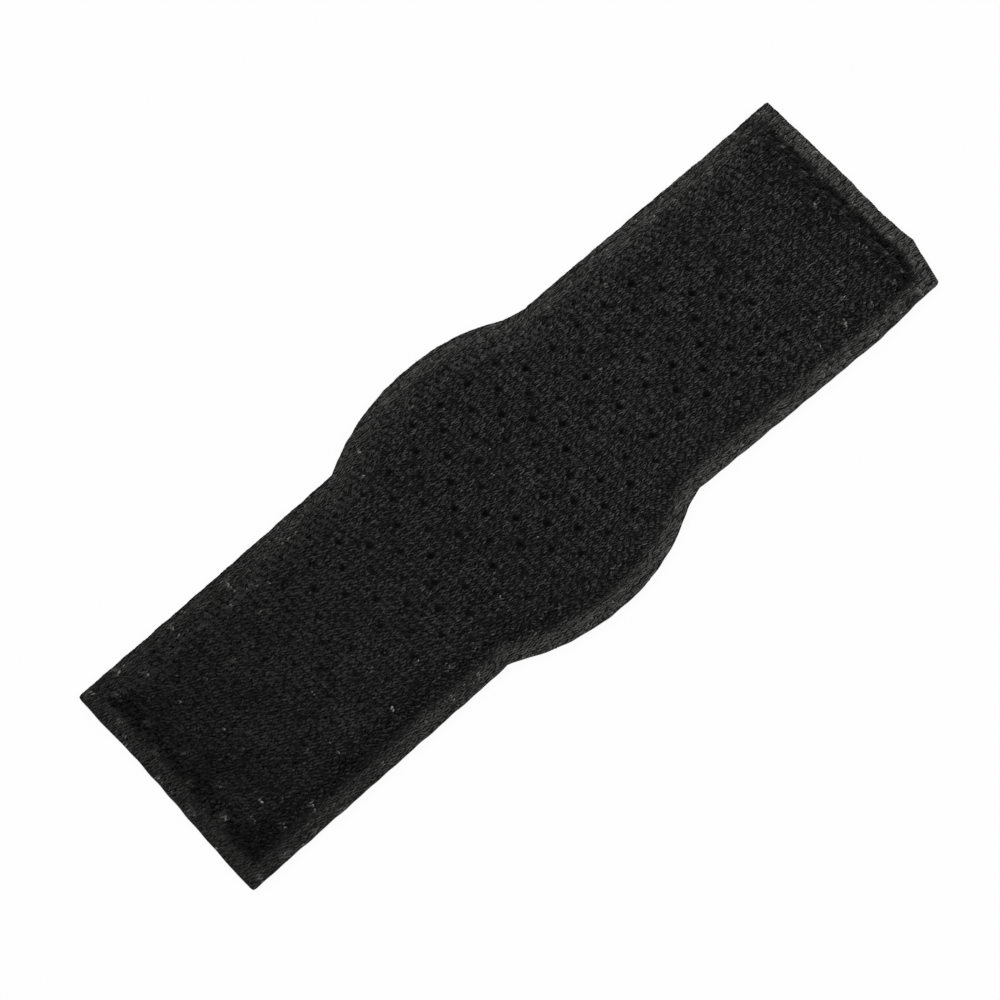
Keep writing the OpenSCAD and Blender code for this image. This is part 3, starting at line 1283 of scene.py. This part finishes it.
@dataclass
class LoopCloth:
    """Loop cloth on the back of one stretch: a thin ground and rows of small uncut loops."""

    form: PadForm
    zone: Zone
    grid: float = 0.6
    ground_z: float = 0.26
    ground_ripple: float = 0.03
    ripple_length: float = 2.3
    loop_pitch: float = 0.9
    loop_row: float = 0.75
    loop_radius: float = 0.34
    yarn_radius: float = 0.11
    yarn_sides: int = 5
    loop_steps: int = 5
    # The ends of a loop sink this far into the ground, and the loop is pressed to this share of its height.
    loop_root: float = 0.08
    loop_squash: float = 0.75
    # No two loops turn, lean or hang quite alike.
    turn_limit: float = 0.9
    lean_spread: float = 0.5
    size_range: tuple[float, float] = (0.8, 1.15)
    # Places along the stretch at which its width is measured.
    width_samples: int = 400

    def place_ground(self, drawn: Array) -> Placed:
        """Moves the drawn slab to the cloth's ground.

        Args:
            drawn: Vertices of the slab.

        Returns:
            The vertices' places.
        """
        form = self.form
        x = self.zone.spread(drawn[:, 0])
        y = drawn[:, 1] * form.half_width_at(x)
        low = self.ground_z + self.ground_ripple * ripple(x, y, self.ripple_length)
        return form.lie(x, y, np.where(drawn[:, 2] > SLAB_MIDDLE, form.loop_z, low)), {}

    def loop(self) -> bmesh.types.BMesh:
        """Draws one small loop that hangs down from the ground, its two ends closed.

        Returns:
            The loop, centred on the origin.
        """
        bm = bmesh.new()
        circle = bmesh.ops.create_circle(
            bm, segments=self.yarn_sides, radius=self.yarn_radius, cap_ends=True
        )
        bmesh.ops.translate(bm, verts=circle["verts"], vec=(self.loop_radius, 0.0, 0.0))
        bmesh.ops.spin(
            bm, geom=bm.faces[:], cent=(0, 0, 0), axis=(0, 1, 0), angle=math.pi, steps=self.loop_steps,
            use_merge=False,
        )
        bmesh.ops.recalc_face_normals(bm, faces=bm.faces[:])
        return bm

    def build(self, finishes: Finishes) -> list[bpy.types.Object]:
        """Args:
            finishes: The shared materials.

        Returns:
            The finished pieces.
        """
        form, zone = self.form, self.zone
        drawn = slab(form, zone, self.grid)
        cloth = finished_object(f"loop_ground_{zone.name}", drawn, self.place_ground, finishes.loop)
        loops = self.build_loops(finishes)
        samples = np.linspace(zone.low_x, zone.high_x, self.width_samples)
        width = 2.0 * float(form.half_width_at(samples).max())
        area = 2.0 * float(form.half_width_at(samples).mean()) * (zone.far - zone.near)
        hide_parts(*zone.nodes(Layer.LOOP))
        for piece in (cloth, loops):
            zone.bend(piece)
        return [cloth, loops]

    def build_loops(self, finishes: Finishes) -> bpy.types.Object:
        """Fills the back of the stretch with loops.

        Args:
            finishes: The shared materials.

        Returns:
            The loops as one piece.
        """
        form, zone = self.form, self.zone
        columns = int((zone.far - zone.near) / self.loop_pitch)
        rows = int(2.0 * form.lobe_half / self.loop_row)
        pitch = (zone.far - zone.near) / columns
        along = zone.low_x + (np.arange(columns) + 0.5) * pitch
        across = (np.arange(rows) + 0.5) * self.loop_row - rows * self.loop_row / 2.0
        centre_x, centre_y = (part.ravel() for part in np.meshgrid(along, across))
        kept = np.abs(centre_y) < form.half_width_at(centre_x) - self.loop_radius
        kept &= np.abs(centre_x) < form.half_length - self.loop_radius
        loops = int(kept.sum())
        bm = self.loop()
        points = len(bm.verts)
        fill(bm, (along[0], across[0]), (pitch, self.loop_row), (columns, rows), kept)
        centres = np.stack([centre_x[kept], centre_y[kept]], axis=1).repeat(points, axis=0)
        rng = np.random.default_rng([SEED, loops, round(zone.low_x + form.half_length)])
        turn = rng.uniform(-self.turn_limit, self.turn_limit, loops).repeat(points)
        lean = rng.normal(0.0, self.lean_spread, loops).repeat(points)
        size = rng.uniform(*self.size_range, loops).repeat(points)

        def place(drawn: Array) -> Placed:
            """Turns and leans each loop, and hangs it under the ground.

            Args:
                drawn: Vertices of the even rows of loops.

            Returns:
                The vertices' places.
            """
            away = (drawn[:, :2] - centres) * size[:, None]
            hang = drawn[:, 2] * size
            side = away[:, 1] + lean * hang
            x = centres[:, 0] + away[:, 0] * np.cos(turn) - side * np.sin(turn)
            y = centres[:, 1] + away[:, 0] * np.sin(turn) + side * np.cos(turn)
            z = np.maximum(self.ground_z + self.loop_root + hang * self.loop_squash, 0.0)
            return form.lie(x, y, z), {}

        return finished_object(f"loop_pile_{zone.name}", bm, place, finishes.loop)


@dataclass
class Studio:
    """Pale floor, soft light and the camera at the photograph's angle."""

    # Place of the camera, fitted to the corners of the band in the photograph.
    azimuth: float = math.radians(-42.404)
    elevation: float = math.radians(73.376)
    distance: float = 604.49
    target_x: float = -3.146
    focal_pixels: float = 4418.6
    image_pixels: float = 1000.0
    sensor_width: float = 36.0
    floor_colour: str = "#F4F4F4"
    world_light: float = 0.86
    white_share: float = 0.93
    # In metres: half the floor's side, how near and far the camera sees, and the lamp's place and width.
    floor_half: float = 3.0
    clip_near: float = 0.01
    clip_far: float = 20.0
    lamp_place: tuple[float, float, float] = (0.05, 0.8, 0.75)
    lamp_size: float = 0.6
    lamp_watts: float = 2.0

    def camera(self) -> None:
        """Makes the camera."""
        flat = math.cos(self.elevation)
        sine, cosine = math.sin(self.azimuth), math.cos(self.azimuth)
        back = Vector((sine * flat, -cosine * flat, math.sin(self.elevation)))
        right = Vector((cosine, sine, 0.0))
        place = Vector((self.target_x, 0.0, 0.0)) + back * self.distance
        lens = bpy.data.cameras.new("photograph_camera")
        lens.sensor_width = self.sensor_width
        lens.lens = self.focal_pixels / self.image_pixels * self.sensor_width
        lens.clip_start = self.clip_near
        lens.clip_end = self.clip_far
        camera = bpy.data.objects.new("photograph_camera", lens)
        turn = Matrix((right, back.cross(right), back)).transposed().to_4x4()
        camera.matrix_world = Matrix.Translation(place * MM) @ turn
        bpy.context.scene.collection.objects.link(camera)
        bpy.context.scene.camera = camera

    def lamp(self) -> None:
        """Adds a soft square lamp that points at the pad."""
        light = bpy.data.lights.new("key_softbox", "AREA")
        light.size = self.lamp_size
        light.energy = self.lamp_watts
        lamp = bpy.data.objects.new("key_softbox", light)
        turn = Vector(self.lamp_place).to_track_quat("Z", "Y").to_matrix().to_4x4()
        lamp.matrix_world = Matrix.Translation(self.lamp_place) @ turn
        bpy.context.scene.collection.objects.link(lamp)

    def seen_directly(self, tree: bpy.types.NodeTree) -> bpy.types.NodeSocket:
        """Says whether a ray is one that looks at the background: camera, glossy or transmission.

        Args:
            tree: Node tree that asks.

        Returns:
            A socket that is 1 for such a ray, and 0 for others.
        """
        path = add_node(tree, "ShaderNodeLightPath").outputs
        seen = add_node(tree, "ShaderNodeMath", {
            0: path["Is Camera Ray"], 1: path["Is Glossy Ray"],
        }, operation="MAXIMUM").outputs[0]
        return add_node(tree, "ShaderNodeMath", {
            0: seen, 1: path["Is Transmission Ray"],
        }, operation="MAXIMUM").outputs[0]

    def floor(self) -> None:
        """Makes the pale floor, which keeps a soft shadow."""
        material, tree, output = new_material("painted_board_matt")
        share = add_node(tree, "ShaderNodeMath", {
            0: self.seen_directly(tree), 1: self.white_share,
        }, operation="MULTIPLY").outputs[0]
        paint = add_node(tree, "ShaderNodeBsdfDiffuse", {
            "Color": linear_colour(self.floor_colour),
        }).outputs[0]
        glow = add_node(tree, "ShaderNodeEmission", {"Color": WHITE, "Strength": 1.0}).outputs[0]
        mixed = add_node(tree, "ShaderNodeMixShader", {0: share, 1: paint, 2: glow})
        tree.links.new(mixed.outputs[0], output.inputs[0])
        bm = bmesh.new()
        bmesh.ops.create_grid(bm, x_segments=2, y_segments=2, size=self.floor_half)
        mesh = bpy.data.meshes.new("studio_floor")
        bm.to_mesh(mesh)
        bm.free()
        mesh.materials.append(material)
        board = bpy.data.objects.new("studio_floor", mesh)
        bpy.context.scene.collection.objects.link(board)

    def world(self) -> None:
        """Sets a dim, even surrounding light that the camera sees as white."""
        world = bpy.data.worlds.new("studio_surround")
        world.use_nodes = True
        tree = world.node_tree
        tree.nodes.clear()
        strength = add_node(tree, "ShaderNodeMapRange", {
            "Value": self.seen_directly(tree), "To Min": self.world_light, "To Max": 1.0,
        }).outputs["Result"]
        surround = add_node(tree, "ShaderNodeBackground", {"Color": WHITE, "Strength": strength})
        output = add_node(tree, "ShaderNodeOutputWorld")
        tree.links.new(surround.outputs[0], output.inputs[0])
        bpy.context.scene.world = world

    def build(self) -> None:
        """Builds the whole studio."""
        self.camera()
        self.floor()
        self.world()
        self.lamp()
        bpy.context.scene.view_settings.view_transform = "Standard"


def dress_plate(finishes: Finishes) -> None:
    """Gives the splint plate's own CAD node its plastic.

    Args:
        finishes: The shared materials.
    """
    plate = frame["nodes"]["splint_plate"]
    plate.data.materials.clear()
    plate.data.materials.append(finishes.plate)


def main() -> None:
    """Builds the studio and every piece of the pad."""
    logging.basicConfig(level=logging.INFO, format="%(message)s")
    Studio().build()
    finishes = Finishes.make()
    form = PadForm.from_frame()
    lattice = KnitLattice()
    for zone in Zone.all_from_frame(form):
        pieces = [
            SpacerMesh(form, lattice, zone).build(finishes),
            KnitFace(form, lattice, zone).build(finishes),
            FoamSheet(form, zone).build(finishes),
            *LoopCloth(form, zone).build(finishes),
        ]
        for piece in pieces:
            LOG.info("%s: %d faces", piece.name, len(piece.data.polygons))
    dress_plate(finishes)
    LOG.info("splint_plate: dressed")


if __name__ == "__main__":
    main()
